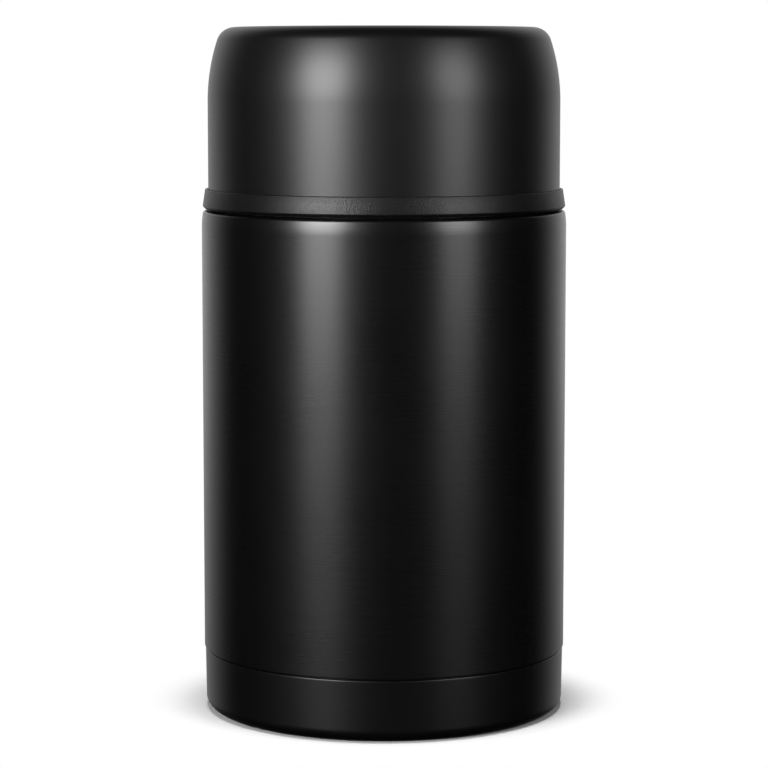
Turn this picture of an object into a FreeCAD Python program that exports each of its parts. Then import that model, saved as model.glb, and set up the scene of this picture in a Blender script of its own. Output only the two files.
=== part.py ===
"""Wide-mouth insulated food jar: a steel vacuum body, a screw stopper with a vent valve, and a steel cup that
screws down over the stopper. Millimetres, +Z up, the origin on the table under the middle of the base."""

import math
import os

import FreeCAD, Part
import Sketcher
from FreeCAD import Vector

# Driving dimensions in millimetres, one cell of the sheet each. The body's radius drives every other large radius,
# through the steps, gaps and walls between one turned piece and the next.
SIZES = {
    # Steel body
    "body_radius": 55.0,
    "body_wall": 0.5,
    "seam_height": 18.7,  # lower edge of the body's skin, over the base cup
    "shell_foot": 6.0,  # lower edge of the stepped-in tube, inside the base cup
    "shoulder_height": 151.6,
    "shoulder_round": 2.0,
    "neck_step": 7.5,
    "neck_height": 16.4,  # shoulder to lip
    # Base cup
    "base_step": 0.3,
    "base_taper": 0.2,
    "base_wall": 0.5,
    "base_round": 3.0,
    "foot_width": 5.5,
    "foot_recess": 1.2,
    "seam_gap": 0.3,
    "base_fit": 0.1,
    # Liner that holds the food
    "vacuum_gap": 4.5,
    "liner_wall": 0.4,
    "liner_floor": 14.0,
    "liner_round": 8.0,
    "neck_gap": 2.6,
    "mouth_length": 18.0,
    "liner_shoulder": 7.0,
    # Pieces in and under the vacuum
    "plate_wall": 0.5,
    "plate_skirt": 3.0,
    "weld_gap": 0.05,
    "port_radius": 1.5,
    "bead_radius": 3.2,
    "bead_height": 1.0,
    "getter_radius": 5.0,
    "getter_thickness": 1.2,
    "getter_offset": 22.0,
    "clip_wall": 0.3,
    "clip_width": 5.0,
    "clip_foot": 4.0,
    "clip_play": 0.1,
    # Cup, from the shoulder of the body up
    "cup_height": 54.6,
    "cup_step": 2.0,
    "cup_wall": 0.5,
    "dome_height": 22.2,
    "dome_radius": 59.0,
    "dome_corner": 5.5,
    "bowl_gap": 1.1,
    "bowl_wall": 0.4,
    "bowl_headroom": 3.3,
    "bowl_round": 8.0,
    # Moulded collar that carries the cup's thread
    "collar_gap": 0.4,
    "collar_height": 5.9,
    "rim_step": 0.3,
    "collar_flare": 0.75,
    "collar_edge": 0.8,
    "collar_skirt": 13.0,
    "collar_skirt_wall": 1.6,
    "collar_slot": 2.2,  # underside to the floor of the slot that takes the steel edges
    "slot_fit": 0.1,
    "rebate_height": 1.2,
    "rebate_width": 2.4,
    "ring_fit": 0.1,
    # Threads, the same form for cup and stopper: ridges on one side, short lugs that ride under them on the other
    "thread_room": 1.8,  # between a plain male wall and the wall round it
    "thread_lead": 12.0,
    "thread_depth": 1.2,
    "thread_half": 1.1,
    "thread_root": 0.25,
    "thread_play": 0.9,  # lug below ridge, crest to crest
    "ridge_height": 3.7,
    "lug_height": 1.0,
    "neck_ridge": 6.0,  # shoulder to the start of each ridge
    "mouth_ridge": 12.0,  # lip down to the start of each ridge
    # Stopper
    "plug_depth": 18.5,
    "plug_wall": 2.0,
    "flange_reach": 1.8,
    "flange_thickness": 3.0,
    "flange_edge": 0.6,
    "seal_height": 1.7,
    "seal_fit": 0.05,
    "seal_play": 0.3,
    "tub_wall": 2.0,
    "dish_depth": 5.0,
    "top_wall": 2.0,
    "boss_height": 2.5,
    "boss_wall": 2.5,
    "grip_gap": 0.7,
    "grip_width": 24.0,
    "grip_edge": 1.0,
    "well_depth": 10.2,
    "web_thickness": 2.0,
    "channel_radius": 7.0,
    "channel_wall": 1.6,
    "vent_radius": 1.2,
    "vent_circle": 5.0,
    "lid_thickness": 2.0,  # disc that closes the stopper underneath
    "lid_edge": 0.8,
    "lid_inset": 0.2,
    # Vent valve
    "button_radius": 11.5,
    "button_rise": 1.2,
    "button_top": 1.6,
    "button_wall": 1.4,
    "button_skirt": 7.4,
    "button_edge": 0.9,
    "socket_radius": 4.5,
    "socket_depth": 3.0,
    "slide_gap": 0.3,
    "stem_radius": 2.5,
    "stem_fit": 0.05,
    "vent_port": 6.0,
    "valve_radius": 9.5,
    "valve_thickness": 2.5,
    "valve_edge": 0.8,
    "washer_radius": 9.2,
    "washer_thickness": 1.5,
    "spring_radius": 8.0,
    "spring_wire": 0.9,
}
VENT_COUNT = 4
THREAD_STARTS = 3
SPRING_TURNS = 3.5
TURN_CHORDS = 10  # straight lengths in one turn of the spring
BEND_CHORDS = 2  # straight facets round a bend, so that the wide rings stay light
TURNED = 360
LEVEL = 1e-4  # heights nearer than this are the same


class Size:
    """A length or an angle: its value now, and the expression that ties it to the sheet."""

    def __init__(self, value, text):
        self.value = value
        self.text = text

    def __add__(self, other):
        other = sized(other)
        return Size(self.value + other.value, f"({self.text} + {other.text})")

    def __sub__(self, other):
        other = sized(other)
        return Size(self.value - other.value, f"({self.text} - {other.text})")

    def __mul__(self, other):
        other = sized(other)
        return Size(self.value * other.value, f"({self.text} * {other.text})")

    def __truediv__(self, other):
        other = sized(other)
        return Size(self.value / other.value, f"({self.text} / {other.text})")

    __radd__ = __add__
    __rmul__ = __mul__

    def __rsub__(self, other):
        return sized(other) - self


def sized(value):
    """A Size from a Size or a plain number."""
    return value if isinstance(value, Size) else Size(float(value), repr(float(value)))


def cosine(angle):
    """Cosine of an angle in degrees."""
    return Size(math.cos(math.radians(angle.value)), f"cos({angle.text})")


def sine(angle):
    """Sine of an angle in degrees."""
    return Size(math.sin(math.radians(angle.value)), f"sin({angle.text})")


def arcsine(ratio):
    """The angle in degrees whose sine is ratio, with its unit taken off again."""
    return Size(math.degrees(math.asin(ratio.value)), f"(asin({ratio.text}) / 1deg)")


ZERO = sized(0.0)
doc = FreeCAD.newDocument("food_jar")
sheet = doc.addObject("Spreadsheet::Sheet", "Sizes")
for row, (alias, number) in enumerate(SIZES.items(), start=1):
    sheet.set(f"A{row}", alias)
    sheet.set(f"B{row}", str(number))
    sheet.setAlias(f"B{row}", alias)
doc.recompute()


def size(alias):
    """The Size of one cell of the sheet."""
    return Size(float(sheet.get(alias)), f"Sizes.{alias}")


def bend(centre_r, centre_z, radius, start, end, chords):
    """Corner points along an arc about (centre_r, centre_z), from start to end degrees, both ends included."""
    points = []
    for step in range(chords + 1):
        angle = sized(start) + (sized(end) - sized(start)) * (step / chords)
        points.append((centre_r + radius * cosine(angle), centre_z + radius * sine(angle)))
    return points


def new_body(label):
    """An empty PartDesign body that carries the piece's name."""
    body = doc.addObject("PartDesign::Body", label)
    body.Label = label
    return body


def plane_of(body, role):
    """One of the body's own origin planes."""
    return next(plane for plane in body.Origin.OriginFeatures if plane.Role == role)


def pin_point(sketch, edge, point, direction, length):
    """Holds one coordinate of a sketch point at a Size."""
    axis = {"DistanceX": -2, "DistanceY": -1}[direction]
    if length is ZERO:
        sketch.addConstraint(Sketcher.Constraint("PointOnObject", edge, point, axis))
        return
    index = sketch.addConstraint(Sketcher.Constraint(direction, -1, 1, edge, point, length.value))
    sketch.setExpression(f"Constraints[{index}]", length.text)


def outline_sketch(body, name, role, points):
    """A closed outline of straight edges on an origin plane, every corner tied to the sheet."""
    sketch = body.newObject("Sketcher::SketchObject", name)
    sketch.AttachmentSupport = (plane_of(body, role), [""])
    sketch.MapMode = "FlatFace"
    corners = [Vector(across.value, up.value, 0) for across, up in points]
    count = len(corners)
    sketch.addGeometry([Part.LineSegment(corners[i], corners[(i + 1) % count]) for i in range(count)])
    sketch.addConstraint([Sketcher.Constraint("Coincident", i, 2, (i + 1) % count, 1) for i in range(count)])
    for index, (across, up) in enumerate(points):
        pin_point(sketch, index, 1, "DistanceX", across)
        pin_point(sketch, index, 1, "DistanceY", up)
    return sketch


def turned(label, points):
    """A piece turned about the jar's axis from one outline of (radius, height) corners."""
    body = new_body(label)
    sketch = outline_sketch(body, f"{label}_profile", "XZ_Plane", points)
    feature = body.newObject("PartDesign::Revolution", f"{label}_turned")
    feature.Profile = sketch
    feature.ReferenceAxis = (sketch, ["V_Axis"])
    feature.Angle = TURNED
    body.Tip = feature
    return body


def add_thread(body, name, wall, crest, start_z, climb):
    """Three alike helical ridges on a round wall: each climbs anticlockwise, so the thread is right-handed."""
    inward = crest.value < wall.value
    root_r = wall + size("thread_root") if inward else wall - size("thread_root")
    half = size("thread_half")
    section = [(root_r, start_z - half), (crest, start_z), (root_r, start_z + half)]
    sketch = outline_sketch(body, f"{name}_section", "XZ_Plane", section)
    ridge = body.newObject("PartDesign::AdditiveHelix", f"{name}_ridge")
    ridge.Profile = sketch
    ridge.ReferenceAxis = (sketch, ["V_Axis"])
    ridge.Mode = "pitch-height-angle"
    ridge.setExpression("Pitch", size("thread_lead").text)
    ridge.setExpression("Height", climb.text)
    body.Tip = ridge
    doc.recompute()
    pattern = body.newObject("PartDesign::PolarPattern", f"{name}_starts")
    pattern.Originals = [ridge]
    pattern.Axis = (sketch, ["V_Axis"])
    pattern.Angle = TURNED
    pattern.Occurrences = THREAD_STARTS
    body.Tip = pattern


def ring(label, inner, outer, low, high):
    """A plain ring of rectangular section."""
    return turned(label, [(inner, low), (outer, low), (outer, high), (inner, high)])


# Heights and radii that several pieces share
body_radius = size("body_radius")
body_wall = size("body_wall")
shoulder_z = size("shoulder_height")
neck_radius = body_radius - size("neck_step")
base_radius = body_radius - size("base_step")
cup_radius = body_radius - size("cup_step")
lip_z = shoulder_z + size("neck_height")
seam_z = size("seam_height")
tube_radius = base_radius - size("base_taper") - size("base_wall") - size("base_fit")
liner_out = body_radius - body_wall - size("vacuum_gap")
liner_bore = liner_out - size("liner_wall")
mouth_bore = neck_radius - body_wall - size("neck_gap") - size("liner_wall")
liner_under_z = size("liner_floor") - size("liner_wall")
mouth_foot_z = lip_z - size("mouth_length")
liner_top_z = mouth_foot_z - size("liner_shoulder")
crown_z = shoulder_z + size("cup_height")
collar_z = shoulder_z + size("collar_gap")
slot_z = collar_z + size("collar_slot")
cup_foot_z = slot_z + size("slot_fit")
bowl_out = cup_radius - size("cup_wall") - size("bowl_gap")
bowl_bore = bowl_out - size("bowl_wall")
bowl_top_z = crown_z - size("cup_wall") - size("bowl_headroom")
plug_radius = mouth_bore - size("thread_room")
plug_bore = plug_radius - size("plug_wall")
flange_radius = mouth_bore + size("flange_reach")
dish_radius = plug_bore - size("tub_wall")
flange_z = lip_z + size("seal_height")
flange_top_z = flange_z + size("flange_thickness")
dish_z = flange_top_z - size("dish_depth")
top_under_z = dish_z - size("top_wall")
boss_z = flange_top_z + size("boss_height")
well_radius = size("button_radius") + size("slide_gap")
boss_radius = well_radius + size("boss_wall")
well_z = boss_z - size("well_depth")
web_z = well_z - size("web_thickness")
plug_foot_z = lip_z - size("plug_depth")
lid_z = plug_foot_z - size("lid_thickness")
button_z = boss_z + size("button_rise")
button_under_z = button_z - size("button_top")
washer_z = lid_z - size("seal_fit") - size("washer_thickness")
valve_foot_z = washer_z - size("valve_thickness")
stem_bore = size("stem_radius") + size("stem_fit")
neck_ridge_z = shoulder_z + size("neck_ridge")
mouth_ridge_z = lip_z - size("mouth_ridge")


def outer_shell():
    """The painted skin: a tube stepped in behind the base cup, rolled over at the shoulder into the neck."""
    curl = body_radius - tube_radius
    bend_r = size("shoulder_round")
    inside = body_radius - body_wall
    points = [
        (tube_radius - body_wall, size("shell_foot")),
        (tube_radius, size("shell_foot")),
        (tube_radius, seam_z),
        (body_radius, seam_z + curl),
    ]
    points += bend(body_radius - bend_r, shoulder_z - bend_r, bend_r, 0, 90, BEND_CHORDS)
    points += [
        (neck_radius, shoulder_z),
        (neck_radius, lip_z - size("liner_wall")),
        (neck_radius - body_wall, lip_z - size("liner_wall")),
        (neck_radius - body_wall, shoulder_z - body_wall),
        (body_radius - bend_r, shoulder_z - body_wall),
        (inside, shoulder_z - bend_r),
        (inside, seam_z + curl),
        (tube_radius - body_wall, seam_z),
    ]
    body = turned("outer_shell", points)
    add_thread(body, "neck", neck_radius, neck_radius + size("thread_depth"), neck_ridge_z, size("ridge_height"))


def base_cup():
    """The painted cup pressed over the foot of the shell, standing on a ring round a shallow recess."""
    wall = size("base_wall")
    foot_outer = base_radius - size("base_taper") - size("base_round")
    foot_inner = foot_outer - size("foot_width")
    recess = size("foot_recess")
    top_z = seam_z - size("seam_gap")
    points = [(base_radius, top_z)]
    points += bend(foot_outer, size("base_round"), size("base_round"), 0, -90, BEND_CHORDS)[:-1]
    points += [
        (foot_outer, ZERO),
        (foot_inner, ZERO),
        (foot_inner - recess, recess),
        (ZERO, recess),
        (ZERO, recess + wall),
        (foot_inner - recess + wall / 2, recess + wall),
        (foot_inner + wall / 2, wall),
        (foot_outer, wall),
        (foot_outer + size("base_round") - wall, size("base_round")),
        (base_radius - wall, top_z),
    ]
    turned("base_cup", points)


def inner_liner():
    """The drawn steel pot: floor, straight wall, tapered shoulder, mouth, and the lip that meets the shell."""
    wall = size("liner_wall")
    bend_r = size("liner_round")
    floor_z = size("liner_floor")
    points = [(ZERO, liner_under_z)]
    points += bend(liner_bore - bend_r, floor_z + bend_r, bend_r + wall, -90, 0, BEND_CHORDS)
    points += [
        (liner_out, liner_top_z),
        (mouth_bore + wall, mouth_foot_z),
        (mouth_bore + wall, lip_z - wall),
        (neck_radius, lip_z - wall),
        (neck_radius, lip_z),
        (mouth_bore, lip_z),
        (mouth_bore, mouth_foot_z),
        (liner_bore, liner_top_z),
    ]
    points += bend(liner_bore - bend_r, floor_z + bend_r, bend_r, 0, -90, BEND_CHORDS)
    points += [(ZERO, floor_z)]
    body = turned("inner_liner", points)
    add_thread(body, "mouth", mouth_bore, mouth_bore - size("thread_depth"), mouth_ridge_z, size("ridge_height"))


def vacuum_plate():
    """The dished plate that closes the vacuum space in the foot of the shell, and the bead that seals its port."""
    outer = tube_radius - body_wall - size("weld_gap")
    skirt_bore = outer - size("plate_wall")
    foot_z = size("shell_foot")
    top_z = foot_z + size("plate_skirt")
    under_z = top_z - size("plate_wall")
    points = [
        (size("port_radius"), under_z),
        (skirt_bore, under_z),
        (skirt_bore, foot_z),
        (outer, foot_z),
        (outer, top_z),
        (size("port_radius"), top_z),
    ]
    turned("vacuum_plate", points)
    bead_z = under_z - size("bead_height")
    points = [
        (ZERO, bead_z),
        (size("port_radius"), bead_z),
        (size("bead_radius"), under_z),
        (ZERO, under_z),
    ]
    turned("seal_bead", points)


def getter():
    """The getter pill under the liner's floor, and the strap that is spot-welded over it."""
    pill = doc.addObject("Part::Cylinder", "getter")
    pill.Label = "getter"
    pill.setExpression("Radius", size("getter_radius").text)
    pill.setExpression("Height", size("getter_thickness").text)
    pill.setExpression("Placement.Base.x", size("getter_offset").text)
    pill.setExpression("Placement.Base.z", (liner_under_z - size("getter_thickness")).text)

    wall = size("clip_wall")
    inside = size("getter_radius") + size("clip_play")
    foot = inside + wall + size("clip_foot")
    low = liner_under_z - size("getter_thickness") - size("clip_play") - wall
    section = [
        (foot, liner_under_z),
        (foot, liner_under_z - wall),
        (inside + wall, liner_under_z - wall),
        (inside + wall, low),
    ]
    mirrored = [(ZERO - across, up) for across, up in reversed(section)]
    inner = [
        (ZERO - inside, liner_under_z),
        (ZERO - inside, low + wall),
        (inside, low + wall),
        (inside, liner_under_z),
    ]
    body = new_body("getter_clip")
    sketch = outline_sketch(body, "getter_clip_section", "XZ_Plane", section + mirrored + inner)
    strap = body.newObject("PartDesign::Pad", "getter_clip_strap")
    strap.Profile = sketch
    strap.Midplane = True
    strap.setExpression("Length", size("clip_width").text)
    body.Tip = strap
    body.setExpression("Placement.Base.x", size("getter_offset").text)


def dome(radius, corner, crown, chords):
    """The crown of the cup: a long arc that leaves the wall upright, and a tight corner that meets the flat top."""
    start_z = crown_z - size("dome_height")
    outer = cup_radius
    centre_r = outer - size("dome_radius")
    corner_z = crown - corner
    reach = radius - corner
    lean = arcsine((corner_z - start_z) / reach)
    corner_r = centre_r + reach * cosine(lean)
    return bend(centre_r, start_z, radius, 0, lean, chords)[:-1] + bend(
        corner_r, corner_z, corner, lean, 90, chords
    )


def cup_shell():
    """The painted outer skin of the cup."""
    wall = size("cup_wall")
    outside = dome(size("dome_radius"), size("dome_corner"), crown_z, BEND_CHORDS)
    inside = dome(size("dome_radius") - wall, size("dome_corner") - wall, crown_z - wall, BEND_CHORDS)
    points = [(cup_radius - wall, cup_foot_z), (cup_radius, cup_foot_z)]
    points += outside + [(ZERO, crown_z), (ZERO, crown_z - wall)] + inside[::-1]
    turned("cup_shell", points)


def cup_bowl():
    """The bare steel bowl inside the cup, which is eaten from when the cup is turned over."""
    wall = size("bowl_wall")
    bend_r = size("bowl_round")
    centre = (bowl_bore - bend_r, bowl_top_z - wall - bend_r)
    points = [(bowl_bore, cup_foot_z), (bowl_out, cup_foot_z)]
    points += bend(*centre, bend_r + wall, 0, 90, BEND_CHORDS)
    points += [(ZERO, bowl_top_z), (ZERO, bowl_top_z - wall)]
    points += bend(*centre, bend_r, 90, 0, BEND_CHORDS)
    turned("cup_bowl", points)


def cup_collar():
    """The moulded collar: a flared outside band, a slot for both steel edges, and a threaded skirt inside."""
    bore = neck_radius + size("thread_room")
    skirt_out = bore + size("collar_skirt_wall")
    rebate = bore + size("rebate_width")
    rebate_z = collar_z + size("rebate_height")
    rim = body_radius - size("rim_step")
    edge = size("collar_edge")
    slot_wall = cup_radius + size("slot_fit")
    band_z = collar_z + size("collar_height")
    skirt_z = collar_z + size("collar_skirt")
    points = [
        (bore, rebate_z),
        (rebate, rebate_z),
        (rebate, collar_z),
        (rim - edge, collar_z),
        (rim, collar_z + edge),
        (rim - size("collar_flare"), band_z),
        (slot_wall, band_z),
        (slot_wall, slot_z),
        (skirt_out, slot_z),
        (skirt_out, skirt_z),
        (bore, skirt_z),
    ]
    body = turned("cup_collar", points)
    lug_z = neck_ridge_z - size("thread_play")
    add_thread(body, "collar", bore, bore - size("thread_depth"), lug_z, size("lug_height"))
    fit = size("ring_fit")
    ring("cup_gasket", bore + fit, rebate - fit, shoulder_z + fit, rebate_z - fit)


def stopper_body():
    """The upper moulding: flange, dished top with a grip bar, and the well and channel of the valve."""
    edge = size("flange_edge")
    channel = size("channel_radius")
    channel_out = channel + size("channel_wall")
    guide = size("stem_radius") + size("slide_gap")
    tub = plug_bore - size("seal_fit")
    points = [
        (tub, top_under_z),
        (tub, flange_z),
        (flange_radius, flange_z),
        (flange_radius, flange_top_z - edge),
        (flange_radius - edge, flange_top_z),
        (dish_radius, flange_top_z),
        (dish_radius, dish_z),
        (boss_radius, dish_z),
        (boss_radius, boss_z),
        (well_radius, boss_z),
        (well_radius, well_z),
        (guide, well_z),
        (guide, web_z),
        (channel, web_z),
        (channel, plug_foot_z),
        (channel_out, plug_foot_z),
        (channel_out, web_z),
        (boss_radius, web_z),
        (boss_radius, top_under_z),
    ]
    body = turned("stopper_body", points)
    add_grip(body)
    add_vents(body)


def add_grip(body):
    """The grip bar across the dish, cut through by the valve's well and eased along its top edges."""
    half_length = dish_radius - size("grip_gap")
    half_width = size("grip_width") / 2
    corners = [(half_length, half_width), (ZERO - half_length, half_width)]
    corners += [(ZERO - half_length, ZERO - half_width), (half_length, ZERO - half_width)]
    sketch = outline_sketch(body, "grip_outline", "XY_Plane", corners)
    hole = sketch.addGeometry(Part.Circle(Vector(0, 0, 0), Vector(0, 0, 1), well_radius.value))
    sketch.addConstraint(Sketcher.Constraint("Coincident", hole, 3, -1, 1))
    index = sketch.addConstraint(Sketcher.Constraint("Radius", hole, well_radius.value))
    sketch.setExpression(f"Constraints[{index}]", well_radius.text)
    sketch.setExpression("AttachmentOffset.Base.z", dish_z.text)
    bar = body.newObject("PartDesign::Pad", "grip_bar")
    bar.Profile = sketch
    bar.setExpression("Length", (boss_z - dish_z).text)
    body.Tip = bar
    doc.recompute()
    names = []
    for number, edge in enumerate(bar.Shape.Edges, start=1):
        box = edge.BoundBox
        level = abs(box.ZMin - boss_z.value) < LEVEL and abs(box.ZMax - boss_z.value) < LEVEL
        if level and edge.Curve.TypeId == "Part::GeomLine":
            names.append(f"Edge{number}")
    eased = body.newObject("PartDesign::Chamfer", "grip_eased")
    eased.Base = (bar, names)
    eased.setExpression("Size", size("grip_edge").text)
    body.Tip = eased


def add_vents(body):
    """The ring of vent holes through the web that guides the valve's stem."""
    sketch = body.newObject("Sketcher::SketchObject", "vent_outline")
    sketch.AttachmentSupport = (plane_of(body, "XY_Plane"), [""])
    sketch.MapMode = "FlatFace"
    sketch.setExpression("AttachmentOffset.Base.z", well_z.text)
    centre = Vector(size("vent_circle").value, 0, 0)
    hole = sketch.addGeometry(Part.Circle(centre, Vector(0, 0, 1), size("vent_radius").value))
    pin_point(sketch, hole, 3, "DistanceX", size("vent_circle"))
    pin_point(sketch, hole, 3, "DistanceY", ZERO)
    index = sketch.addConstraint(Sketcher.Constraint("Radius", hole, size("vent_radius").value))
    sketch.setExpression(f"Constraints[{index}]", size("vent_radius").text)
    vent = body.newObject("PartDesign::Pocket", "vent_hole")
    vent.Profile = sketch
    vent.setExpression("Length", size("web_thickness").text)
    body.Tip = vent
    doc.recompute()
    pattern = body.newObject("PartDesign::PolarPattern", "vent_ring")
    pattern.Originals = [vent]
    pattern.Axis = (sketch, ["N_Axis"])
    pattern.Angle = TURNED
    pattern.Occurrences = VENT_COUNT
    body.Tip = pattern


def stopper_fittings():
    """The plug's wall with its lugs, the disc that closes it underneath, and the seal under the flange."""
    wall = ring("stopper_plug", plug_bore, plug_radius, plug_foot_z, flange_z)
    lug_z = mouth_ridge_z - size("thread_play")
    add_thread(wall, "plug", plug_radius, plug_radius + size("thread_depth"), lug_z, size("lug_height"))
    lid_radius = plug_radius - size("lid_inset")
    edge = size("lid_edge")
    lid = [
        (size("vent_port"), lid_z),
        (lid_radius - edge, lid_z),
        (lid_radius, lid_z + edge),
        (lid_radius, plug_foot_z),
        (size("vent_port"), plug_foot_z),
    ]
    turned("stopper_lid", lid)
    fit = size("seal_fit")
    play = size("seal_play")
    ring("stopper_seal", plug_radius + play, flange_radius - play, lip_z + fit, flange_z - fit)


def valve():
    """The vent valve: button and stem above, washer and disc below, and the spring that lifts them shut."""
    button = size("button_radius")
    edge = size("button_edge")
    skirt_z = button_z - size("button_skirt")
    socket_z = button_under_z - size("socket_depth")
    points = [
        (ZERO, button_z),
        (button - edge, button_z),
        (button, button_z - edge),
        (button, skirt_z),
        (button - size("button_wall"), skirt_z),
        (button - size("button_wall"), button_under_z),
        (size("socket_radius"), button_under_z),
        (size("socket_radius"), socket_z),
        (stem_bore, socket_z),
        (stem_bore, button_under_z),
        (ZERO, button_under_z),
    ]
    turned("valve_button", points)
    stem_radius = size("stem_radius")
    stem_top = button_under_z - size("stem_fit")
    points = [(ZERO, valve_foot_z), (stem_radius, valve_foot_z), (stem_radius, stem_top), (ZERO, stem_top)]
    turned("valve_stem", points)
    edge = size("valve_edge")
    points = [
        (stem_bore, valve_foot_z),
        (size("valve_radius") - edge, valve_foot_z),
        (size("valve_radius"), valve_foot_z + edge),
        (size("valve_radius"), washer_z),
        (stem_bore, washer_z),
    ]
    turned("valve_disc", points)
    ring("valve_washer", stem_bore, size("washer_radius"), washer_z, lid_z - size("seal_fit"))


def valve_spring():
    """The coil spring between the floor of the well and the underside of the button."""
    wire = size("spring_wire")
    low = (well_z + wire / 2 + size("seal_fit")).value
    rise = (button_under_z - well_z - wire - size("slide_gap")).value
    radius = size("spring_radius").value
    count = round(SPRING_TURNS * TURN_CHORDS)
    points = []
    for step in range(count + 1):
        angle = math.tau * step / TURN_CHORDS
        points.append(Vector(radius * math.cos(angle), radius * math.sin(angle), low + rise * step / count))
    half = wire.value / 2
    first = points[0]
    square = [first + Vector(x * half, 0, z * half) for x, z in ((-1, -1), (1, -1), (1, 1), (-1, 1), (-1, -1))]
    path = Part.makePolygon(points)
    coil = doc.addObject("Part::Feature", "valve_spring")
    coil.Label = "valve_spring"
    coil.Shape = path.makePipeShell([Part.makePolygon(square)], True, True, 1)


PIECES = [
    "outer_shell",
    "base_cup",
    "inner_liner",
    "vacuum_plate",
    "seal_bead",
    "getter",
    "getter_clip",
    "cup_shell",
    "cup_bowl",
    "cup_collar",
    "cup_gasket",
    "stopper_body",
    "stopper_plug",
    "stopper_lid",
    "stopper_seal",
    "valve_button",
    "valve_stem",
    "valve_disc",
    "valve_washer",
    "valve_spring",
]


def build():
    """Makes every piece of the jar."""
    outer_shell()
    base_cup()
    inner_liner()
    vacuum_plate()
    getter()
    cup_shell()
    cup_bowl()
    cup_collar()
    stopper_body()
    stopper_fittings()
    valve()
    valve_spring()
    doc.recompute()


def check():
    """Stops on any object or piece that failed."""
    for item in doc.Objects:
        if "Invalid" in item.State or "Error" in item.State:
            raise RuntimeError(f"{item.Label} failed: {item.State}")
    for label in PIECES:
        shape = doc.getObjectsByLabel(label)[0].Shape
        if shape.isNull() or not shape.isValid() or not shape.Solids:
            raise RuntimeError(f"{label} has no valid solid")


def export():
    """Writes one STEP file for each piece."""
    os.makedirs("parts", exist_ok=True)
    for label in PIECES:
        shape = doc.getObjectsByLabel(label)[0].Shape
        shape.exportStep(f"parts/{label}.step")
        print(f"{label}: {len(shape.Solids)} solid, {shape.Volume:.1f} mm3")


build()
check()
export()
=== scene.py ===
"""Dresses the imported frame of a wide-mouth insulated food jar for a product picture.

The jar is a satin black steel body with a pressed-on base. A screw stopper with a vent button closes its
mouth, and a double-walled steel cup on a moulded collar screws down over the stopper. Lengths are in metres
and angles in degrees. The jar's axis is Z, it stands on z = 0 and its front faces -Y.
"""

import logging
import math
from dataclasses import dataclass
from enum import Enum
from typing import Any, Iterable, Mapping, Sequence

import bpy
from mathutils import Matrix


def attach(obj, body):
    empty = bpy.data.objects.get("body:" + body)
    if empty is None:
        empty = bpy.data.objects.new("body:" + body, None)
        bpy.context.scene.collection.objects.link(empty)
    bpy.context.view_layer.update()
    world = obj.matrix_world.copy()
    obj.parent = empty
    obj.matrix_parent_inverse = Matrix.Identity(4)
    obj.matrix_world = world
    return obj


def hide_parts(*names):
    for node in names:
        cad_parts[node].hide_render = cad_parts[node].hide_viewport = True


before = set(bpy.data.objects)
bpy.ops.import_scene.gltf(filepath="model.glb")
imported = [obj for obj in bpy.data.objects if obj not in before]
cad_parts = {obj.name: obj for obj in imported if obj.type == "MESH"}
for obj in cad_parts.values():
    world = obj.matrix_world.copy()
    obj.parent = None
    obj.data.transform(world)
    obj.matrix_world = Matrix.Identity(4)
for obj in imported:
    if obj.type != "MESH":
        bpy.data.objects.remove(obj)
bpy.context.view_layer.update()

LOG = logging.getLogger("food_jar")
MM = 0.001
RING = 256  # facets round the large turned pieces
SMALL_RING = 96  # and round the vent button
MERGE = 1e-7  # points closer than this are one
HOLD = 0.4 * MM  # from a bend to the ring of edges that keeps the long wall beside it straight
LUG_CLIMB = 1.0 * MM  # how far a lug of the collar or the stopper follows its thread
LUG_STEPS = 12

Point = tuple[float, float]  # distance from the axis and height
Colour = tuple[float, float, float]
Grains = tuple[float, float, float]  # grains per metre along each axis

SEAL_WHITE: Colour = (0.55, 0.55, 0.52)


# Shader graphs


class Value:
    """A number that a shader works out, with plain arithmetic for Math nodes."""

    def __init__(self, graph: "Graph", socket: bpy.types.NodeSocket) -> None:
        """Wraps an output socket of a graph."""
        self.graph = graph
        self.socket = socket

    def _math(self, operation: str, first: Any, second: Any) -> "Value":
        """Adds one Math node and returns its result."""
        return self.graph.value("ShaderNodeMath", {"operation": operation}, {0: first, 1: second})

    def __add__(self, other: Any) -> "Value":
        """self + other."""
        return self._math("ADD", self, other)

    def __sub__(self, other: Any) -> "Value":
        """self - other."""
        return self._math("SUBTRACT", self, other)

    def __rsub__(self, other: Any) -> "Value":
        """other - self."""
        return self._math("SUBTRACT", other, self)

    def __mul__(self, other: Any) -> "Value":
        """self * other."""
        return self._math("MULTIPLY", self, other)

    __radd__ = __add__
    __rmul__ = __mul__

    def swing(self, width: float) -> "Value":
        """A pattern from 0 to 1, made to swing by half of width to either side of 0."""
        return (self - 0.5) * width


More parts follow.
